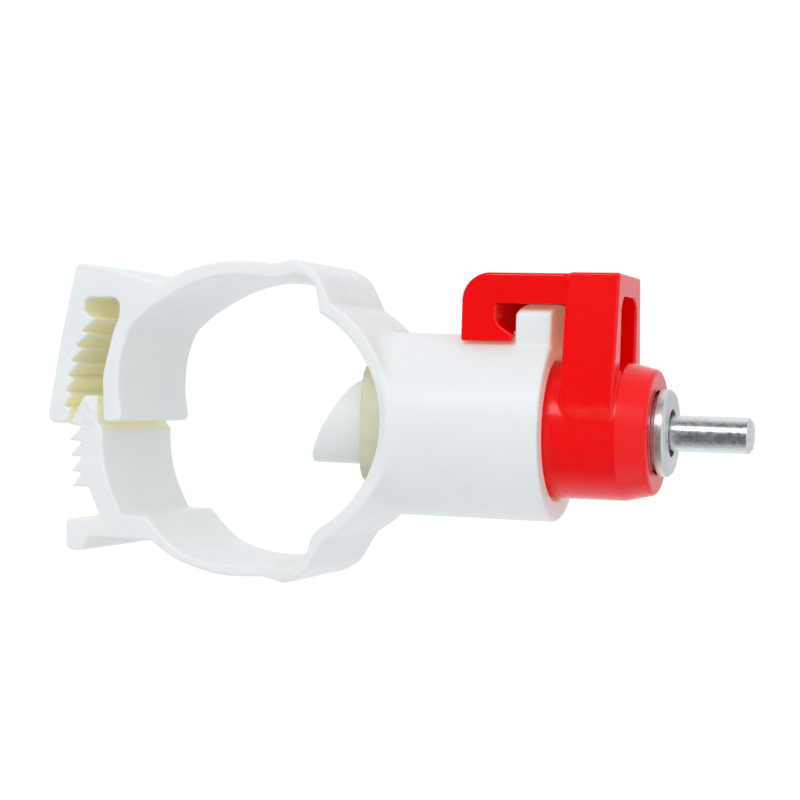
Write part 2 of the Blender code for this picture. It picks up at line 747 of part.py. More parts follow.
def build_valve_ball(material):
    bpy.ops.mesh.primitive_uv_sphere_add(segments=24, ring_count=12, radius=BALL_RADIUS)
    ball = bpy.context.object
    ball.name = "valve_ball"
    ball.data.name = "valve_ball"
    for collection in list(ball.users_collection):
        collection.objects.unlink(ball)
    PARTS.objects.link(ball)
    ball.location = (0.0, 0.0, BALL_CENTRE_Z)
    finish_part(ball, material)
    return ball


def build_upper_seat(material):
    profile = [
        (SEAT_CONE_RADIUS, SEAT_TOP_Z),
        (CASING_RADIUS, SEAT_TOP_Z),
        (CASING_RADIUS, SEAT_BOTTOM_Z),
        (SEAT_HOLE_RADIUS, SEAT_BOTTOM_Z),
        (SEAT_HOLE_RADIUS, SEAT_TOP_Z - SEAT_CONE_DEPTH),
    ]
    seat = bake(revolve("upper_seat", profile, SMALL_STEPS))
    finish_part(seat, material)
    return seat


def build_valve_cap(material):
    profile = [
        (CAP_HOLE_RADIUS, CAP_TOP_Z),
        (CASING_RADIUS, CAP_TOP_Z),
        (CASING_RADIUS, CAP_BOTTOM_Z),
        (CAP_CAVITY_RADIUS, CAP_BOTTOM_Z),
        (CAP_CAVITY_RADIUS, CAP_CAVITY_TOP_Z),
        (CAP_HOLE_RADIUS, CAP_CAVITY_TOP_Z),
    ]
    cap = bake(revolve("valve_cap", profile, SMALL_STEPS))
    finish_part(cap, material)
    return cap


def build_ring(name, major, minor, height, material):
    """Round-section sealing ring."""
    bpy.ops.mesh.primitive_torus_add(
        major_radius=major,
        minor_radius=minor,
        major_segments=ROUND_STEPS,
        minor_segments=10,
    )
    ring = bpy.context.object
    ring.name = name
    ring.data.name = name
    for collection in list(ring.users_collection):
        collection.objects.unlink(ring)
    PARTS.objects.link(ring)
    ring.location = (0.0, 0.0, height)
    finish_part(ring, material)
    return ring


def build_all():
    white = make_material("white_polypropylene", (0.86, 0.87, 0.85), 0.35, 0.0)
    red = make_material("red_plastic", (0.78, 0.01, 0.01), 0.3, 0.0)
    cream = make_material("cream_rubber", (0.70, 0.66, 0.50), 0.6, 0.0)
    black = make_material("black_rubber", (0.02, 0.02, 0.02), 0.6, 0.0)
    steel = make_material("stainless_steel", (0.60, 0.60, 0.61), 0.25, 1.0)
    pin_steel = make_material("pin_steel", (0.64, 0.65, 0.66), 0.2, 1.0)
    build_saddle_socket(white)
    build_upper_jaw(white.copy())
    build_lower_jaw(white.copy())
    build_pipe_gasket(cream)
    build_nipple_body(red)
    build_ring("body_ring", BODY_RING_MAJOR, BODY_RING_MINOR, BODY_RING_Z, black)
    build_valve_cap(white.copy())
    build_valve_ball(pin_steel.copy())
    build_upper_seat(steel.copy())
    seal = tube("seat_seal", SEAL_HOLE_RADIUS, CASING_RADIUS, SEAL_TOP_Z, SEAL_BOTTOM_Z, SMALL_STEPS)
    finish_part(seal, black.copy())
    build_metering_pin(pin_steel.copy())
    build_valve_casing(steel)
    build_ring("casing_ring", CASING_RING_MAJOR, CASING_RING_MINOR, CASING_RING_Z, black.copy())
    build_trigger_pin(pin_steel)


build_all()
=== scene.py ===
"""Looks for the clip-on nipple drinker: moulded white saddle, red twist-lock nipple, steel valve.

Lengths in the shape code are millimetres in the row frame; meshes are written in metres.
+Z is up in use, the pipe runs along Y, and the origin is on the pipe's axis.
"""

import math

import bmesh
import bpy
import numpy as np
from mathutils import Matrix, Vector


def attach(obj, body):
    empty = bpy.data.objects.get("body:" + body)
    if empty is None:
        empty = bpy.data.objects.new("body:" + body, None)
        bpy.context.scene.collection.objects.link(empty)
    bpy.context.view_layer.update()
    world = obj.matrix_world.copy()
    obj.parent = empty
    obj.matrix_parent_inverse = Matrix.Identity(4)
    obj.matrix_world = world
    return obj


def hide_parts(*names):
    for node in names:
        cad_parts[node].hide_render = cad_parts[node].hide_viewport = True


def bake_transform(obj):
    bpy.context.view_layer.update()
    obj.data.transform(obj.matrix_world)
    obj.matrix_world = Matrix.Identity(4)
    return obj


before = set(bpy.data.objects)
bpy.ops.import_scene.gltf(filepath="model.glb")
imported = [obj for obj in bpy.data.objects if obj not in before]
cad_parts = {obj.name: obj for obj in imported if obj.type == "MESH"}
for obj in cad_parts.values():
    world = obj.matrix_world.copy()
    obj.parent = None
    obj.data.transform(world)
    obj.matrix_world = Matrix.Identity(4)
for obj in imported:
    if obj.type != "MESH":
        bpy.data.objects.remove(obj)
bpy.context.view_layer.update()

MM = 0.001

# Clamp, all in millimetres
BAND_HALF_WIDTH = 8.7
BAND_EDGE = 0.3
PIPE_RADIUS = 12.5
SADDLE_OUTER_RADIUS = 13.9
SEAM_Z = -2.6
ARC_STEP = math.radians(5)

# Socket sleeve, lug, spigot and gasket pocket
SLEEVE_RADIUS = 9.46
SLEEVE_END_Z = -29.04
SLEEVE_BORE_RADIUS = 7.3
SLEEVE_TOP_RADIUS = 13.3
WEB_BOTTOM_Z = -15.5
LUG_TOP_Z = -25.3
LUG_RADIUS = 12.65
LUG_MIDDLE_Y = -0.6
LUG_HALF_WIDTH = 4.2
SPIGOT_RADIUS = 4.4
SPIGOT_BORE_RADIUS = 2.8
SPIGOT_TIP_Z = -2.65
SPIGOT_HEEL_Z = -7.53
POCKET_RADIUS = 6.55
POCKET_FLOOR_Z = -13.0
GASKET_RADIUS = 6.25
GASKET_HOLE_RADIUS = 4.7
GASKET_TOP_Z = -8.2
GASKET_BOTTOM_Z = -12.7
GASKET_CURVE_RADIUS = 19.2
GASKET_CURVE_Z = 9.65

# Red nipple body
PLUG_RADIUS = 7.0
PLUG_TOP_Z = -16.0
HUB_END_Z = -36.2
HUB_GLOSS_RADIUS = (PLUG_RADIUS + 0.1) * MM
HUB_GLOSS_END = (PLUG_RADIUS + 0.4) * MM
NOSE_RADIUS = 6.3
NOSE_END_Z = -39.2
VALVE_BORE_RADIUS = 4.2
VALVE_BORE_TOP_Z = -20.0
INLET_PORT_RADIUS = 1.8
TAB_TIP_X = 15.75
TAB_TIP_HALF_WIDTH = 4.95
TAB_TOP_Z = -30.5
TAB_BOTTOM_Z = -35.9
POCKET_HALF_WIDTH = 3.7
POCKET_TIP_X = 13.5
POCKET_TOP_Z = -32.0
HOOK_HALF_WIDTH = 4.8
HOOK_END_Z = -19.6
HOOK_UNDERSIDE_RADIUS = 9.85
HOOK_WINDOW_RADIUS = 13.33
HOOK_WINDOW_CLEAR_RADIUS = 12.1
HOOK_WINDOW_X = 12.4
HOOK_WINDOW_END_Z = -23.3
HOOK_TOE_Z = -25.0
HOOK_TOE_X = 9.4
HOOK_TOP_X = 15.65
HOOK_ROUND = 2.9
HOOK_STOP_NEAR_Y = 3.9

# Outlines in the XZ plane: x, z and the corner's radius.
UPPER_INNER = [
    (14.3, -4.95, 1.6), (15.05, -3.1, 1.5), (14.45, -0.8, 3.5), (15.05, 4.4, 30.0), (13.7, 9.1, 30.0),
    (11.3, 13.0, 1.5), (9.3, 15.4, 3.5), (6.0, 16.5, 12.0), (2.6, 16.6, 12.0), (-0.75, 16.0, 0.7),
    (-0.75, 18.2, 0.5), (4.2, 18.45, 6.0), (8.6, 17.4, 4.0), (10.3, 16.75, 0.5), (12.3, 16.7, 1.9),
    (12.25, 20.7, 1.9), (10.9, 20.75, 0.4),
]
UPPER_OUTER = [
    (-1.1, 22.45, 0.3), (-1.1, 24.8, 0.9), (8.0, 23.4, 8.0), (15.95, 21.8, 0.8), (15.2, 17.4, 6.0),
    (13.9, 11.9, 0.5), (15.3, 9.4, 30.0), (16.5, 4.4, 30.0), (16.05, -0.6, 3.0), (16.6, -2.9, 1.8),
    (15.35, -5.2, 3.0),
]
LOWER_INNER = [
    (-14.2, -4.8, 1.8), (-15.2, -3.1, 1.5), (-14.7, -0.8, 3.5), (-15.25, 4.5, 30.0), (-14.0, 9.4, 30.0),
    (-11.4, 12.1, 2.0), (-10.5, 12.9, 0.3), (-10.5, 15.7, 0.5), (-7.6, 17.25, 15.0), (-4.6, 18.1, 15.0),
    (-1.6, 18.25, 0.5), (-1.0, 18.8, 0.4), (1.9, 18.9, 0.6), (1.9, 20.5, 0.6),
]
LOWER_OUTER = [
    (-7.7, 19.7, 0.2), (-11.0, 18.2, 0.4), (-11.2, 22.15, 0.5), (-14.45, 22.15, 0.8),
    (-14.45, 20.2, 0.3), (-13.0, 19.7, 0.5), (-13.0, 12.3, 1.0), (-14.9, 9.5, 30.0),
    (-16.3, 4.6, 30.0), (-16.05, -0.5, 3.0), (-16.7, -3.0, 1.8), (-15.3, -5.1, 3.0),
]

# Ratchet teeth in the housing and on the tongue
HOUSING_TOOTH_COUNT = 7
HOUSING_TOOTH_PITCH = 1.6
HOUSING_TOOTH_FIRST_X = 0.4
HOUSING_TOOTH_TIP_Z = 21.95
HOUSING_TOOTH_ROOT_Z = 22.75
HOUSING_TOOTH_DROP = 0.07
TONGUE_TOOTH_COUNT = 5
TONGUE_TOOTH_PITCH = 1.63
TONGUE_TOOTH_FIRST_X = -7.75
TONGUE_TOOTH_TIP_Z = 21.55
TONGUE_TOOTH_ROOT_Z = 20.6
TONGUE_TOOTH_RISE = 0.2

# Lump of flash on the tongue: x, z and radius of its bulges
FLASH_Y = -8.1
FLASH_LUMPS = [
    (1.25, 20.1, 0.72), (0.45, 19.55, 0.82), (0.3, 20.6, 0.7), (-0.5, 20.9, 0.62), (-0.55, 19.8, 0.85),
    (-1.35, 20.35, 0.6), (-1.25, 19.2, 0.55), (1.6, 19.4, 0.4),
]

# Grid spacings of the moulded pieces
SHARP = 0.1
FINE = 0.14
WIDE = 0.22

# Camera: turns in radians, place in metres in the row frame, lens and sensor in millimetres
CAMERA_PAN = 0.3192
CAMERA_PITCH = -0.0077
CAMERA_ROLL = 0.0304
CAMERA_PLACE = (0.004086, -0.203993, -0.079216)
CAMERA_LENS = 92.384
CAMERA_SENSOR = 36.0

# Studio: how bright the surround is behind the object, in front of it, and in front for reflections
BACK_FILL = 1.0
FRONT_FILL = 0.70
FRONT_GLOSS = 0.12


def corner_arc(before, corner, after, radius):
    """Replace one corner by an arc that is tangent to both of its sides."""
    corner = Vector(corner)
    to_before = Vector(before) - corner
    to_after = Vector(after) - corner
    first = to_before.normalized()
    second = to_after.normalized()
    angle = first.angle(second)
    turn = math.pi - angle
    if radius <= 0.0 or turn < math.radians(1):
        return [tuple(corner)]
    reach = min(radius / math.tan(angle / 2), 0.49 * min(to_before.length, to_after.length))
    radius = reach * math.tan(angle / 2)
    centre = corner + (first + second).normalized() * (radius / math.sin(angle / 2))
    start = corner + first * reach - centre
    end = corner + second * reach - centre
    count = max(2, int(math.ceil(turn / ARC_STEP)))
    sweep = start.angle_signed(end)
    points = []
    for index in range(count + 1):
        step = -sweep * index / count
        points.append((
            centre.x + start.x * math.cos(step) - start.y * math.sin(step),
            centre.y + start.x * math.sin(step) + start.y * math.cos(step),
        ))
    return points


def rounded(corners):
    """A closed outline with each corner rounded to its own radius."""
    points = []
    count = len(corners)
    for index, corner in enumerate(corners):
        before = corners[index - 1]
        after = corners[(index + 1) % count]
        points += corner_arc(before[:2], corner[:2], after[:2], corner[2])
    return points


def arc(radius, start, end):
    """Arc corners about the pipe's axis; angles are measured from -Z towards +X."""
    count = max(2, int(math.ceil(abs(end - start) / ARC_STEP)))
    angles = [start + (end - start) * index / count for index in range(count + 1)]
    return [(radius * math.sin(angle), -radius * math.cos(angle), 0.0) for angle in angles]


def housing_teeth():
    """Saw teeth inside the housing, from the blind end to the mouth; steep sides face +X."""
    corners = []
    for index in reversed(range(HOUSING_TOOTH_COUNT)):
        drop = HOUSING_TOOTH_DROP * index * index
        tip_x = HOUSING_TOOTH_FIRST_X + HOUSING_TOOTH_PITCH * index
        corners.append((tip_x + 0.35, HOUSING_TOOTH_ROOT_Z - drop, 0.12))
        corners.append((tip_x, HOUSING_TOOTH_TIP_Z - drop, 0.08))
    return corners


def tongue_teeth():
    """Saw teeth on the tongue, from its tip towards the pad; steep sides face -X."""
    corners = []
    for index in reversed(range(TONGUE_TOOTH_COUNT)):
        tip_x = TONGUE_TOOTH_FIRST_X + TONGUE_TOOTH_PITCH * index
        corners.append((tip_x, TONGUE_TOOTH_TIP_Z + TONGUE_TOOTH_RISE * min(index, 3), 0.05))
        corners.append((tip_x - 0.12, TONGUE_TOOTH_ROOT_Z, 0.12))
    return corners[:-1]


def polygon(u, v, points):
    """Signed distance to a closed outline, negative inside."""
    shape = np.broadcast_shapes(u.shape, v.shape)
    nearest = np.full(shape, 1e9)
    side = np.ones(shape)
    for index, start in enumerate(points):
        end = points[index - 1]
        run = end[0] - start[0]
        rise = end[1] - start[1]
        du = u - start[0]
        dv = v - start[1]
        along = np.clip((du * run + dv * rise) / (run * run + rise * rise), 0.0, 1.0)
        nearest = np.minimum(nearest, (du - run * along) ** 2 + (dv - rise * along) ** 2)
        above = v >= start[1]
        below = v < end[1]
        left = run * dv > rise * du
        flip = (above & below & left) | (~above & ~below & ~left)
        side = np.where(flip, -side, side)
    return side * np.sqrt(nearest)


def both(first, second, edge):
    """What lies in both shapes, with the edge between them rounded."""
    turn = np.hypot(np.maximum(first + edge, 0.0), np.maximum(second + edge, 0.0))
    return np.minimum(np.maximum(first, second), -edge) + turn


def either(first, second, fillet):
    """Two shapes joined with a fillet."""
    turn = np.hypot(np.maximum(fillet - first, 0.0), np.maximum(fillet - second, 0.0))
    return np.maximum(np.minimum(first, second), fillet) - turn


def between(value, low, high):
    """Distance to a slab."""
    return np.abs(value - (low + high) / 2) - (high - low) / 2


UPPER_OUTLINE = rounded(UPPER_INNER + housing_teeth() + UPPER_OUTER)
LOWER_OUTLINE = rounded(LOWER_INNER + tongue_teeth() + LOWER_OUTER)
SADDLE_OUTLINE = rounded(
    UPPER_INNER[4:0:-1] + [(14.3, -4.95, 1.6), (12.6, -5.5, 3.0)]
    + arc(PIPE_RADIUS, math.radians(62.8), math.radians(-58.2))
    + [(-11.4, -5.7, 1.6)] + LOWER_INNER[:5] + LOWER_OUTER[7:]
    + [(-13.1, -6.3, 0.8)] + arc(SADDLE_OUTER_RADIUS, math.radians(-60), math.radians(60))
    + [(13.0, -6.5, 0.8)] + UPPER_OUTER[:5:-1]
)


def band(x, y, z, outline):
    """An outline drawn out to the clamp's width, with its edges rounded."""
    return both(polygon(x, z, outline), np.abs(y) - BAND_HALF_WIDTH, BAND_EDGE)


def saddle_field(x, y, z):
    """Saddle, sleeve, lug and spigot in one, with the gasket's pocket and the bores cut out."""
    radius = np.hypot(x, y)
    shape = band(x, y, z, SADDLE_OUTLINE)
    sleeve = both(radius - SLEEVE_RADIUS, SLEEVE_END_Z - z, 0.35)
    sleeve = both(np.maximum(sleeve, z), SLEEVE_TOP_RADIUS - np.hypot(x, z), 0.2)
    shape = either(shape, sleeve, 0.9)
    lug = both(radius - LUG_RADIUS, z - LUG_TOP_Z, 0.5)
    lug = both(lug, SLEEVE_END_Z - z, 0.3)
    lug = both(lug, np.abs(y - LUG_MIDDLE_Y) - LUG_HALF_WIDTH, 0.35)
    lug = np.maximum(lug, 8.0 - x)
    shape = either(shape, lug, 0.4)
    shape = both(shape, -both(radius - POCKET_RADIUS, POCKET_FLOOR_Z - z, 0.2), 0.2)
    slope = (SPIGOT_HEEL_Z - SPIGOT_TIP_Z) / (2 * SPIGOT_RADIUS)
    slant = (z - (SPIGOT_HEEL_Z + SPIGOT_TIP_Z) / 2 - slope * x) / math.hypot(1.0, slope)
    spigot = both(radius - SPIGOT_RADIUS, slant, 0.15)
    spigot = np.maximum(spigot, WEB_BOTTOM_Z + 1.0 - z)
    shape = np.minimum(shape, spigot)
    bore = both(radius - SLEEVE_BORE_RADIUS, z - WEB_BOTTOM_Z, 0.3)
    shape = both(shape, -bore, 0.3)
    return both(shape, SPIGOT_BORE_RADIUS - radius, 0.2)


def gasket_field(x, y, z):
    """Rubber ring whose top is hollowed to sit against the pipe."""
    radius = np.hypot(x, y)
    wall = between(radius, GASKET_HOLE_RADIUS, GASKET_RADIUS)
    ring = both(wall, between(z, GASKET_BOTTOM_Z, GASKET_TOP_Z), 0.2)
    return both(ring, GASKET_CURVE_RADIUS - np.hypot(x, z - GASKET_CURVE_Z), 0.2)


def upper_field(x, y, z):
    """Upper jaw with the toothed ratchet housing."""
    return band(x, y, z, UPPER_OUTLINE)


def flash_field(x, y, z):
    """Rough lump of squeezed plastic on the tongue's near corner."""
    ripple = 0.09 * np.sin(7.0 * x + 1.0) * np.sin(6.0 * z) * np.sin(5.0 * y)
    lump = np.full(np.broadcast_shapes(x.shape, y.shape, z.shape), 9.0)
    for centre_x, centre_z, size in FLASH_LUMPS:
        ball = np.sqrt((x - centre_x) ** 2 + (y - FLASH_Y) ** 2 + (z - centre_z) ** 2) - size
        lump = either(lump, ball, 0.15)
    return lump + ripple


def lower_field(x, y, z):
    """Lower jaw with the toothed tongue, the squeeze pad and the lump of flash."""
    return either(band(x, y, z, LOWER_OUTLINE), flash_field(x, y, z), 0.15)


def tab_field(x, y, z):
    """Lever tab of the red body, hollowed from below."""
    lean = math.asin((PLUG_RADIUS - TAB_TIP_HALF_WIDTH) / TAB_TIP_X)
    sides = np.abs(y) * math.cos(lean) + x * math.sin(lean) - PLUG_RADIUS
    face = [(0.9, -40.0, 0.0), (0.9, TAB_TOP_Z, 2.3), (TAB_TIP_X, TAB_TOP_Z, 0.8), (TAB_TIP_X, -40.0, 0.0)]
    tab = both(polygon(x, z, rounded(face)), TAB_BOTTOM_Z - z, 0.25)
    tab = both(tab, sides, 0.22)
    corners = [
        (-3.0, -POCKET_HALF_WIDTH, 0.0),
        (POCKET_TIP_X, -POCKET_HALF_WIDTH, 1.9),
        (POCKET_TIP_X, POCKET_HALF_WIDTH, 1.9),
        (-3.0, POCKET_HALF_WIDTH, 0.0),
    ]
    pocket = both(polygon(x, y, rounded(corners)), z - POCKET_TOP_Z, 0.3)
    return both(tab, -pocket, 0.22)


def hook_field(x, y, z):
    """Locking hook that rises from the tab and closes over the lug."""
    radius = np.hypot(x, y)
    face = [
        (HOOK_TOP_X, -31.2, 0.0), (HOOK_TOP_X, HOOK_END_Z, HOOK_ROUND), (5.0, HOOK_END_Z, 0.0),
        (5.0, HOOK_TOE_Z, 0.0), (HOOK_TOE_X, HOOK_TOE_Z, 0.3), (10.6, HOOK_WINDOW_END_Z, 1.2),
        (HOOK_WINDOW_X, HOOK_WINDOW_END_Z, 0.3), (HOOK_WINDOW_X, -31.2, 0.0),
    ]
    hook = both(polygon(x, z, rounded(face)), np.abs(y) - HOOK_HALF_WIDTH, 0.25)
    path = both(radius - HOOK_WINDOW_RADIUS, HOOK_WINDOW_CLEAR_RADIUS - radius, 0.0)
    path = both(path, z - HOOK_WINDOW_END_Z, 0.0)
    hook = both(hook, -path, 0.15)
    wall = both(between(y, HOOK_STOP_NEAR_Y, HOOK_HALF_WIDTH), between(z, -31.2, -23.0), 0.1)
    wall = both(wall, x - HOOK_WINDOW_X - 1.5, 0.1)
    hook = either(hook, wall, 0.2)
    return both(hook, HOOK_UNDERSIDE_RADIUS - radius, 0.2)


HUB_PROFILE = rounded([
    (-1.0, PLUG_TOP_Z, 0.0), (PLUG_RADIUS, PLUG_TOP_Z, 0.7), (PLUG_RADIUS, -19.0, 0.2), (5.1, -19.0, 0.1),
    (5.1, -21.2, 0.1), (PLUG_RADIUS, -21.2, 0.2), (PLUG_RADIUS, HUB_END_Z, 0.25),
    (NOSE_RADIUS, NOSE_END_Z, 0.45), (-1.0, NOSE_END_Z, 0.0),
])


def nipple_field(x, y, z):
    """Red body: turned hub, lever, and the bore for the valve."""
    radius = np.hypot(x, y)
    lever = either(tab_field(x, y, z), hook_field(x, y, z), 0.25)
    shape = either(polygon(radius, z, HUB_PROFILE), lever, 0.2)
    bore = both(radius - VALVE_BORE_RADIUS, z - VALVE_BORE_TOP_Z, 0.0)
    shape = both(shape, -bore, 0.12)
    return both(shape, INLET_PORT_RADIUS - radius, 0.2)


def lines(*spans):
    """Grid lines from spans of start, end and spacing."""
    places = []
    for start, end, spacing in spans:
        count = max(1, round(abs(end - start) / spacing))
        places += list(np.linspace(start, end, count, endpoint=False))
    places.append(spans[-1][1])
    return np.array(places)


def slope_of(field, places):
    """Unit outward direction of a field at some points."""
    reach = 0.01
    parts = []
    for axis in range(3):
        step = np.zeros(3)
        step[axis] = reach
        ahead = places + step
        behind = places - step
        parts.append(field(*ahead.T) - field(*behind.T))
    slope = np.stack(parts, -1)
    return slope / np.maximum(np.linalg.norm(slope, axis=1, keepdims=True), 1e-9)


def skin(field, grid):
    """Surface net of a field on a grid: one vertex per crossed cell, one quad per crossed edge."""
    value = field(grid[0][:, None, None], grid[1][None, :, None], grid[2][None, None, :])
    value = np.broadcast_to(value, tuple(len(axis) for axis in grid))
    inside = value < 0.0
    tally = np.zeros(tuple(len(axis) - 1 for axis in grid), np.int8)
    offsets = [(a, b, c) for a in (0, 1) for b in (0, 1) for c in (0, 1)]
    sizes = tally.shape
    for a, b, c in offsets:
        tally += inside[a:a + sizes[0], b:b + sizes[1], c:c + sizes[2]]
    crossed = (tally > 0) & (tally < 8)
    cell = np.stack(np.nonzero(crossed), -1)
    number = np.full(sizes, -1, np.int64)
    number[crossed] = np.arange(len(cell))
    total = np.zeros((len(cell), 3))
    hits = np.zeros(len(cell))
    for axis in range(3):
        for start in offsets:
            if start[axis]:
                continue
            end = tuple(1 if index == axis else start[index] for index in range(3))
            one = cell + start
            two = cell + end
            first = value[one[:, 0], one[:, 1], one[:, 2]]
            second = value[two[:, 0], two[:, 1], two[:, 2]]
            meets = (first < 0.0) != (second < 0.0)
            share = np.where(meets, first / np.where(meets, first - second, 1.0), 0.0)
            for index in range(3):
                low = grid[index][one[:, index]]
                high = grid[index][two[:, index]]
                total[:, index] += np.where(meets, low + (high - low) * share, 0.0)
            hits += meets
    places = total / hits[:, None]
    quads = []
    for axis in range(3):
        left = (axis + 1) % 3
        right = (axis + 2) % 3
        window = [slice(1, -1)] * 3
        window[axis] = slice(None, -1)
        ahead = list(window)
        ahead[axis] = slice(1, None)
        now = inside[tuple(window)]
        change = now != inside[tuple(ahead)]
        at = np.stack(np.nonzero(change), -1)
        outward = now[change]
        corners = []
        for u, v in ((0, 0), (1, 0), (1, 1), (0, 1)):
            shift = np.zeros(3, int)
            shift[left] = u
            shift[right] = v
            spot = at + shift
            corners.append(number[spot[:, 0], spot[:, 1], spot[:, 2]])
        loop = np.stack(corners, -1)
        quads.append(np.where(outward[:, None], loop, loop[:, ::-1]))
    return places, np.concatenate(quads)


def settle(field, places, limit):
    """Move points onto the surface of a field."""
    moved = places.copy()
    for _ in range(2):
        direction = slope_of(field, moved)
        moved -= direction * np.clip(field(*moved.T), -limit, limit)[:, None]
    return moved


def moulded(name, field, grid, material, cut=None):
    """Build a piece from its field; cut is a plane (point, outward normal) that trims it square."""
    places, quads = skin(field, grid)
    places = settle(field, places, 0.08)
    mesh = bpy.data.meshes.new(name)
    mesh.from_pydata(places.tolist(), [], quads.tolist())
    if cut:
        form = bmesh.new()
        form.from_mesh(mesh)
        everything = form.verts[:] + form.edges[:] + form.faces[:]
        made = bmesh.ops.bisect_plane(
            form, geom=everything, plane_co=cut[0], plane_no=cut[1], clear_outer=True)
        rim = [part for part in made["geom_cut"] if isinstance(part, bmesh.types.BMEdge)]
        bmesh.ops.holes_fill(form, edges=rim, sides=0)
        form.to_mesh(mesh)
        form.free()
    mesh.shade_smooth()
    count = len(mesh.vertices)
    flat = np.empty(count * 3)
    mesh.vertices.foreach_get("co", flat)
    co = flat.reshape(-1, 3)
    normals = slope_of(field, co)
    corner = np.empty(len(mesh.loops), np.int64)
    mesh.loops.foreach_get("vertex_index", corner)
    custom = normals[corner]
    if cut:
        for face in mesh.polygons:
            if face.loop_total > 4 and face.normal.dot(Vector(cut[1])) > 0.99:
                custom[face.loop_start:face.loop_start + face.loop_total] = cut[1]
    mesh.vertices.foreach_set("co", (co * MM).ravel())
    mesh.update()
    mesh.normals_split_custom_set(custom.tolist())
    mesh.materials.append(material)
    obj = bpy.data.objects.new(name, mesh)
    bpy.context.scene.collection.objects.link(obj)
    return obj


def turned(name, corners, material, steps=128, closed=True):
    """A lathe-turned piece from corners of radius, z and rounding; an open profile ends on the axis."""
    if closed:
        profile = rounded(corners)
    else:
        profile = [corners[0][:2]]
        for before, corner, after in zip(corners, corners[1:], corners[2:]):
            profile += corner_arc(before[:2], corner[:2], after[:2], corner[2])
        profile.append(corners[-1][:2])
    form = bmesh.new()
    rings = []
    for radius, z in profile:
        if radius < 1e-6:
            rings.append([form.verts.new((0.0, 0.0, z * MM))])
            continue
        ring = []
        for index in range(steps):
            angle = math.tau * index / steps
            place = (radius * math.cos(angle) * MM, radius * math.sin(angle) * MM, z * MM)
            ring.append(form.verts.new(place))
        rings.append(ring)
    pairs = list(zip(rings, rings[1:]))
    if closed:
        pairs.append((rings[-1], rings[0]))
    for one, two in pairs:
        for index in range(steps):
            after = (index + 1) % steps
            near = [one[index % len(one)], one[after % len(one)]]
            far = [two[after % len(two)], two[index % len(two)]]
            loop = []
            for vert in near + far:
                if vert not in loop:
                    loop.append(vert)
            if len(loop) > 2:
                form.faces.new(loop)
    bmesh.ops.recalc_face_normals(form, faces=form.faces)
    if form.calc_volume(signed=True) < 0.0:
        bmesh.ops.reverse_faces(form, faces=form.faces)
    for face in form.faces:
        face.smooth = True
    for edge in form.edges:
        edge.smooth = edge.calc_face_angle(0.0) < math.radians(28)
    mesh = bpy.data.meshes.new(name)
    form.to_mesh(mesh)
    form.free()
    mesh.materials.append(material)
    obj = bpy.data.objects.new(name, mesh)
    bpy.context.scene.collection.objects.link(obj)
    return obj


# Materials

def new_material(name):
    """A material with its node tree, its shader and the object coordinates."""
    material = bpy.data.materials.new(name)
    material.use_nodes = True
    tree = material.node_tree
    shader = tree.nodes["Principled BSDF"]
    place = tree.nodes.new("ShaderNodeTexCoord")
    return material, tree, shader, place.outputs["Object"]


def noise(tree, where, scale, detail=3.0, roughness=0.55, stretch=None):
    """Noise over object coordinates; scale is in features per metre."""
    if stretch:
        mapping = tree.nodes.new("ShaderNodeMapping")
        mapping.inputs["Scale"].default_value = stretch
        tree.links.new(where, mapping.inputs["Vector"])
        where = mapping.outputs["Vector"]
    node = tree.nodes.new("ShaderNodeTexNoise")
    node.inputs["Scale"].default_value = scale
    node.inputs["Detail"].default_value = detail
    node.inputs["Roughness"].default_value = roughness
    tree.links.new(where, node.inputs["Vector"])
    return node.outputs["Fac"]


def ramp(tree, value, stops):
    """Colours along a value."""
    node = tree.nodes.new("ShaderNodeValToRGB")
    band_of = node.color_ramp
    while len(band_of.elements) < len(stops):
        band_of.elements.new(0.5)
    for element, (position, colour) in zip(band_of.elements, stops):
        element.position = position
        element.color = (*colour, 1.0)
    tree.links.new(value, node.inputs["Fac"])
    return node.outputs["Color"]


def remap(tree, value, low, high, to_low, to_high):
    """Move a value from one range to another, clamped at both ends."""
    node = tree.nodes.new("ShaderNodeMapRange")
    node.inputs["From Min"].default_value = low
    node.inputs["From Max"].default_value = high
    node.inputs["To Min"].default_value = to_low
    node.inputs["To Max"].default_value = to_high
    tree.links.new(value, node.inputs["Value"])
    return node.outputs["Result"]


def blend_colours(tree, factor, first, second):
    """Mix two colours by a factor."""
    node = tree.nodes.new("ShaderNodeMix")
    node.data_type = "RGBA"
    sockets = [socket for socket in node.inputs if socket.type == "RGBA"]
    for socket, colour in zip(sockets, (first, second)):
        if isinstance(colour, tuple):
            socket.default_value = (*colour, 1.0)
        else:
            tree.links.new(colour, socket)
    tree.links.new(factor, node.inputs["Factor"])
    return [socket for socket in node.outputs if socket.type == "RGBA"][0]


def bump(tree, shader, layers):
    """Stack bump layers of height output, strength and distance in metres."""
    before = None
    for height, strength, distance in layers:
        node = tree.nodes.new("ShaderNodeBump")
        node.inputs["Strength"].default_value = strength
        node.inputs["Distance"].default_value = distance
        tree.links.new(height, node.inputs["Height"])
        if before:
            tree.links.new(before, node.inputs["Normal"])
        before = node.outputs["Normal"]
    tree.links.new(before, shader.inputs["Normal"])


def crevice(tree, reach):
    """How open a spot is, from 0 deep in a gap to 1 in the open."""
    node = tree.nodes.new("ShaderNodeAmbientOcclusion")
    node.samples = 6
    node.inputs["Distance"].default_value = reach
    return node.outputs["AO"]


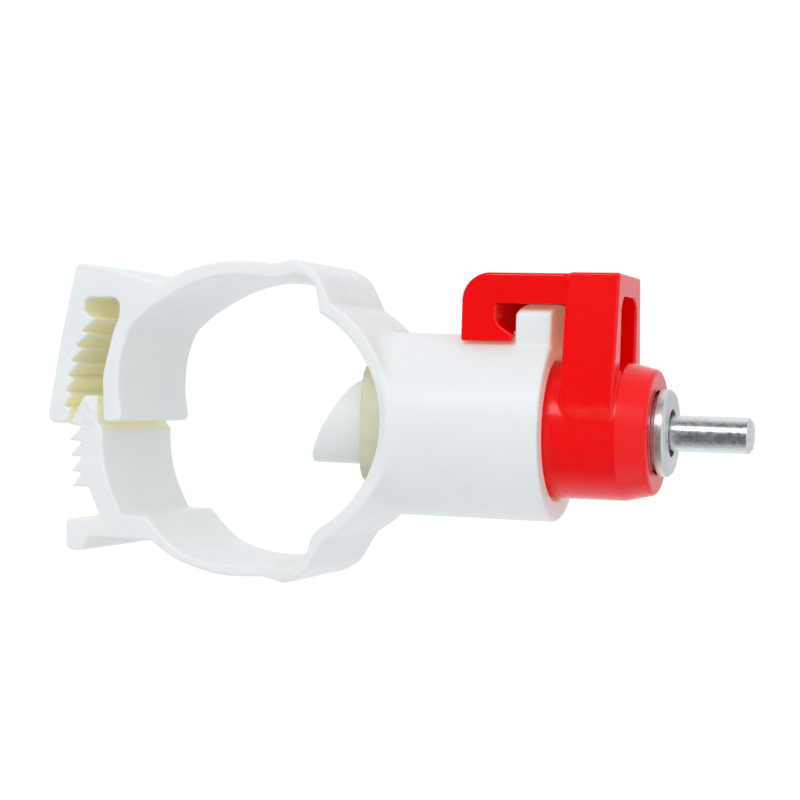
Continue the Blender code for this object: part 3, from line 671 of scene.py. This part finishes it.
def white_plastic():
    """Ivory-white moulded polypropylene: slightly translucent, satin, with a painted yellowish shade and a
    faint painted glow in gaps, standing for light scattered there.
    """
    material, tree, shader, where = new_material("white_polypropylene_detail")
    cloud = noise(tree, where, 130.0, 2.0)
    tone = ramp(tree, cloud, [(0.3, (0.87, 0.885, 0.875)), (0.7, (0.91, 0.915, 0.90))])
    open_sky = crevice(tree, 0.0045)
    # Painted shade: the base colour turns yellowish deep in gaps and crevices, found by ambient occlusion.
    painted_gap_shade = remap(tree, open_sky, 0.1, 0.8, 0.85, 0.0)
    tone = blend_colours(tree, painted_gap_shade, tone, (0.93, 0.88, 0.50))
    # Painted light: a faint warm self-glow in gaps, standing for light scattered inside them.
    shader.inputs["Emission Color"].default_value = (1.0, 0.94, 0.68, 1.0)
    tree.links.new(remap(tree, open_sky, 0.05, 0.6, 0.15, 0.0), shader.inputs["Emission Strength"])
    tree.links.new(tone, shader.inputs["Base Color"])
    fine = noise(tree, where, 900.0, 3.0)
    tree.links.new(remap(tree, fine, 0.3, 0.7, 0.34, 0.46), shader.inputs["Roughness"])
    shader.inputs["Subsurface Weight"].default_value = 0.25
    shader.inputs["Subsurface Radius"].default_value = (1.0, 0.85, 0.6)
    shader.inputs["Subsurface Scale"].default_value = 0.0012
    shader.inputs["IOR"].default_value = 1.49
    flow = noise(tree, where, 260.0, 2.0, 0.5, (1.0, 0.25, 1.0))
    bump(tree, shader, [(flow, 0.25, 0.00012), (fine, 0.12, 0.00003)])
    return material


def red_plastic():
    """Glossy pigment-red moulding with a fine grain; the round hub is a little rougher than the lever."""
    material, tree, shader, where = new_material("red_plastic_detail")
    cloud = noise(tree, where, 500.0, 3.0)
    tone = ramp(tree, cloud, [(0.3, (0.97, 0.0, 0.0)), (0.7, (1.0, 0.0, 0.001))])
    tree.links.new(tone, shader.inputs["Base Color"])
    grain = noise(tree, where, 5200.0, 2.0, 0.7)
    patches = noise(tree, where, 1300.0, 4.0, 0.65)
    from_axis = tree.nodes.new("ShaderNodeVectorMath")
    from_axis.operation = "LENGTH"
    level = tree.nodes.new("ShaderNodeVectorMath")
    level.operation = "MULTIPLY"
    level.inputs[1].default_value = (1.0, 1.0, 0.0)
    tree.links.new(where, level.inputs[0])
    tree.links.new(level.outputs["Vector"], from_axis.inputs[0])
    on_hub = remap(tree, from_axis.outputs["Value"], HUB_GLOSS_RADIUS, HUB_GLOSS_END, 1.0, 0.0)
    satin = remap(tree, patches, 0.3, 0.7, 0.12, 0.2)
    tree.links.new(remap(tree, on_hub, 0.0, 1.0, 0.10, 0.13), satin.node.inputs["To Min"])
    tree.links.new(remap(tree, on_hub, 0.0, 1.0, 0.16, 0.26), satin.node.inputs["To Max"])
    tree.links.new(satin, shader.inputs["Roughness"])
    shader.inputs["Specular IOR Level"].default_value = 0.4
    shader.inputs["IOR"].default_value = 1.5
    shader.inputs["Subsurface Weight"].default_value = 0.05
    shader.inputs["Subsurface Radius"].default_value = (1.0, 0.1, 0.1)
    shader.inputs["Subsurface Scale"].default_value = 0.0006
    bump(tree, shader, [(patches, 0.22, 0.00006), (grain, 0.3, 0.000014)])
    return material


def turned_steel(name, tint, rough, grain=(0.02, 0.02, 1.0)):
    """Stainless steel with mottled wear and fine lines: lathe lines, or along the grain given."""
    material, tree, shader, where = new_material(name)
    mottle = noise(tree, where, 1500.0, 4.0, 0.65)
    tone = ramp(tree, mottle, [(0.3, tuple(value * 0.78 for value in tint)), (0.65, tint)])
    shader.inputs["Metallic"].default_value = 1.0
    rings = noise(tree, where, 6000.0, 2.0, 0.6, grain)
    dark = tuple(value * 0.6 for value in tint)
    worn = blend_colours(tree, remap(tree, rings, 0.35, 0.65, 0.0, 0.6), tone, dark)
    tree.links.new(worn, shader.inputs["Base Color"])
    tree.links.new(remap(tree, mottle, 0.3, 0.7, rough, rough + 0.16), shader.inputs["Roughness"])
    bump(tree, shader, [(rings, 0.18, 0.00002), (mottle, 0.14, 0.00003)])
    return material


def rubber(name, dark, light, rough):
    """Soft rubber with a faint mottled bloom."""
    material, tree, shader, where = new_material(name)
    cloud = noise(tree, where, 420.0, 3.0)
    tree.links.new(ramp(tree, cloud, [(0.3, dark), (0.7, light)]), shader.inputs["Base Color"])
    fine = noise(tree, where, 2600.0, 3.0)
    tree.links.new(remap(tree, fine, 0.3, 0.7, rough, rough + 0.12), shader.inputs["Roughness"])
    bump(tree, shader, [(fine, 0.2, 0.00003)])
    return material


# Pieces

def build_pieces():
    """The visible pieces in place of the CAD parts they hide, all but the two jaws on their bodies, and
    new materials for the carried CAD.
    """
    white = white_plastic()
    red = red_plastic()
    casing_steel = turned_steel("casing_steel_detail", (0.90, 0.89, 0.88), 0.28)
    pin_steel = turned_steel("pin_steel_detail", (0.92, 0.94, 0.94), 0.2, (1.0, 1.0, 0.06))
    cream = rubber("cream_rubber_detail", (0.70, 0.66, 0.48), (0.78, 0.74, 0.56), 0.45)
    black = rubber("black_rubber_detail", (0.012, 0.012, 0.012), (0.03, 0.03, 0.03), 0.5)

    rim = BAND_HALF_WIDTH
    far_edge = (rim - 0.5, rim + 0.3, 0.12)
    across = lines((-rim - 0.3, -rim + 0.5, 0.12), (-rim + 0.5, rim - 0.5, 1.2), far_edge)
    cut_down = ((0.0, 0.0, SEAM_Z), (0.0, 0.0, -1.0))
    cut_up = ((0.0, 0.0, SEAM_Z), (0.0, 0.0, 1.0))

    upper_grid = (
        lines((-1.6, 12.6, SHARP), (12.6, 17.2, FINE)),
        across,
        lines((SEAM_Z - 0.6, 19.0, FINE), (19.0, 23.0, SHARP), (23.0, 25.2, FINE)),
    )
    upper = moulded("clamp_upper_jaw", upper_field, upper_grid, white, cut_down)
    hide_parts("upper_jaw")
    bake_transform(upper)

    lower_across = lines((-rim - 0.4, -rim + 1.6, 0.13), (-rim + 1.6, rim - 0.5, 1.2), far_edge)
    lower_grid = (
        lines((-17.2, -8.6, FINE), (-8.6, 2.6, SHARP)),
        lower_across,
        lines((SEAM_Z - 0.6, 20.2, FINE), (20.2, 22.7, SHARP)),
    )
    lower = moulded("clamp_lower_jaw", lower_field, lower_grid, white, cut_down)
    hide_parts("lower_jaw")
    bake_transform(lower)

    saddle_grid = (
        lines((-17.2, 17.2, WIDE)),
        lines((-9.9, 9.9, WIDE)),
        lines((-29.5, -24.6, 0.2), (-24.6, -15.9, 0.6), (-15.9, SEAM_Z + 0.6, WIDE)),
    )
    saddle = moulded("clamp_saddle", saddle_field, saddle_grid, white, cut_up)
    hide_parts("saddle_socket")
    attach(saddle, "saddle")

    ring_side = lines((-6.6, 6.6, 0.16))
    ring_height = lines((-13.0, -12.2, 0.16), (-12.2, -9.8, 0.6), (-9.8, -8.0, 0.16))
    gasket_grid = (ring_side, ring_side, ring_height)
    gasket = moulded("pipe_gasket_ring", gasket_field, gasket_grid, cream)
    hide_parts("pipe_gasket")
    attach(gasket, "saddle")

    body_grid = (
        lines((-7.4, 16.2, 0.2)),
        lines((-7.4, 7.4, 0.2)),
        lines((-39.6, -29.6, 0.19), (-29.6, -22.6, 0.21), (-22.6, -15.6, 0.25)),
    )
    body = moulded("nipple_moulding", nipple_field, body_grid, red)
    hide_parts("nipple_body")
    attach(body, "nipple")

    casing = turned("valve_casing_shell", [
        (3.1, -30.4, 0.1), (3.9, -30.4, 0.15), (3.9, -36.9, 0.1), (3.2, -36.9, 0.05), (3.2, -38.1, 0.05),
        (3.9, -38.1, 0.1), (3.9, -39.5, 0.05), (4.4, -39.5, 0.12), (4.4, -40.35, 0.15), (4.05, -40.7, 0.2),
        (2.4, -40.7, 0.12), (2.4, -36.0, 0.05), (3.1, -36.0, 0.05),
    ], casing_steel)
    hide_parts("valve_casing")
    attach(casing, "nipple")

    pin = turned("trigger_rod", [
        (0.0, -34.2, 0.0), (2.6, -34.2, 0.35), (2.6, -35.7, 0.15), (1.8, -35.7, 0.1), (1.8, -48.35, 0.15),
        (1.35, -48.7, 0.2), (0.0, -48.7, 0.0),
    ], pin_steel, closed=False)
    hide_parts("trigger_pin")
    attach(pin, "trigger")

    inner_white = white_plastic()
    carried = {
        "body_ring": black,
        "casing_ring": black,
        "seat_seal": black,
        "valve_cap": inner_white,
        "valve_ball": pin_steel,
        "upper_seat": casing_steel,
        "metering_pin": pin_steel,
    }
    for name, material in carried.items():
        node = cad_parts[name]
        for index in range(len(node.material_slots)):
            node.material_slots[index].link = "OBJECT"
            node.material_slots[index].material = material


def add_camera():
    """The photograph's view: pin to the right, lever up, seen from the pipe's open end."""
    right, up, back = Vector((0, 0, -1)), Vector((1, 0, 0)), Vector((0, -1, 0))
    turn = Matrix.Rotation(CAMERA_PAN, 3, up)
    right, back = turn @ right, turn @ back
    turn = Matrix.Rotation(CAMERA_PITCH, 3, right)
    up, back = turn @ up, turn @ back
    turn = Matrix.Rotation(CAMERA_ROLL, 3, back)
    right, up = turn @ right, turn @ up
    camera = bpy.data.cameras.new("camera")
    camera.lens = CAMERA_LENS
    camera.sensor_width = CAMERA_SENSOR
    camera.clip_start = 0.01
    camera.clip_end = 10.0
    obj = bpy.data.objects.new("camera", camera)
    obj.matrix_world = Matrix((
        (right.x, up.x, back.x, CAMERA_PLACE[0]),
        (right.y, up.y, back.y, CAMERA_PLACE[1]),
        (right.z, up.z, back.z, CAMERA_PLACE[2]),
        (0, 0, 0, 1),
    ))
    bpy.context.scene.collection.objects.link(obj)
    bpy.context.scene.camera = obj


def add_light(name, place, target, size, power, colour):
    """A soft box at a place, turned to its target."""
    light = bpy.data.lights.new(name, "AREA")
    light.shape = "RECTANGLE"
    light.size = size[0]
    light.size_y = size[1]
    light.energy = power
    light.color = colour
    obj = bpy.data.objects.new(name, light)
    obj.location = place
    direction = Vector(target) - Vector(place)
    obj.rotation_euler = direction.to_track_quat("-Z", "Y").to_euler()
    obj.visible_camera = False
    bpy.context.scene.collection.objects.link(obj)


def add_studio():
    """White sweep behind and round the object, dark towards the viewer, with soft boxes."""
    scene = bpy.context.scene
    scene.view_settings.view_transform = "Standard"
    world = bpy.data.worlds.new("studio")
    scene.world = world
    world.use_nodes = True
    tree = world.node_tree
    tree.nodes.clear()
    output = tree.nodes.new("ShaderNodeOutputWorld")
    sky = tree.nodes.new("ShaderNodeBackground")
    paper = tree.nodes.new("ShaderNodeBackground")
    paper.inputs["Color"].default_value = (1.0, 1.0, 1.0, 1.0)
    paper.inputs["Strength"].default_value = 1.02
    where = tree.nodes.new("ShaderNodeTexCoord")
    split = tree.nodes.new("ShaderNodeSeparateXYZ")
    tree.links.new(where.outputs["Generated"], split.inputs["Vector"])
    ray = tree.nodes.new("ShaderNodeLightPath")
    front = remap(tree, ray.outputs["Is Glossy Ray"], 0.0, 1.0, FRONT_FILL, FRONT_GLOSS)
    shade = remap(tree, split.outputs["Y"], -0.35, 0.3, 0.0, BACK_FILL)
    tree.links.new(front, shade.node.inputs["To Min"])
    sky.inputs["Color"].default_value = (0.94, 0.985, 1.03, 1.0)
    tree.links.new(shade, sky.inputs["Strength"])
    mix = tree.nodes.new("ShaderNodeMixShader")
    tree.links.new(ray.outputs["Is Camera Ray"], mix.inputs["Fac"])
    tree.links.new(sky.outputs["Background"], mix.inputs[1])
    tree.links.new(paper.outputs["Background"], mix.inputs[2])
    tree.links.new(mix.outputs["Shader"], output.inputs["Surface"])

    middle = (0.0, 0.0, -0.012)
    cool = (0.97, 0.99, 1.0)
    add_light("key_box", (0.25, -0.36, 0.03), middle, (0.13, 0.24), 0.45, cool)
    add_light("low_box", (-0.40, -0.13, -0.05), middle, (0.30, 0.14), 0.05, cool)
    add_light("pin_box", (0.12, -0.30, -0.30), (0.0, 0.0, -0.042), (0.14, 0.18), 0.60, cool)

    floor_mesh = bpy.data.meshes.new("floor")
    form = bmesh.new()
    bmesh.ops.create_grid(form, x_segments=8, y_segments=8, size=1.2)
    form.to_mesh(floor_mesh)
    form.free()
    floor = bpy.data.objects.new("floor", floor_mesh)
    floor.location = (0.0, 0.0, -0.13)
    material, tree, shader, place = new_material("pale_floor")
    tone = ramp(tree, noise(tree, place, 9.0), [(0.3, (0.86, 0.86, 0.86)), (0.7, (0.88, 0.88, 0.88))])
    tree.links.new(tone, shader.inputs["Base Color"])
    shader.inputs["Roughness"].default_value = 0.7
    floor_mesh.materials.append(material)
    scene.collection.objects.link(floor)


add_camera()
add_studio()
build_pieces()
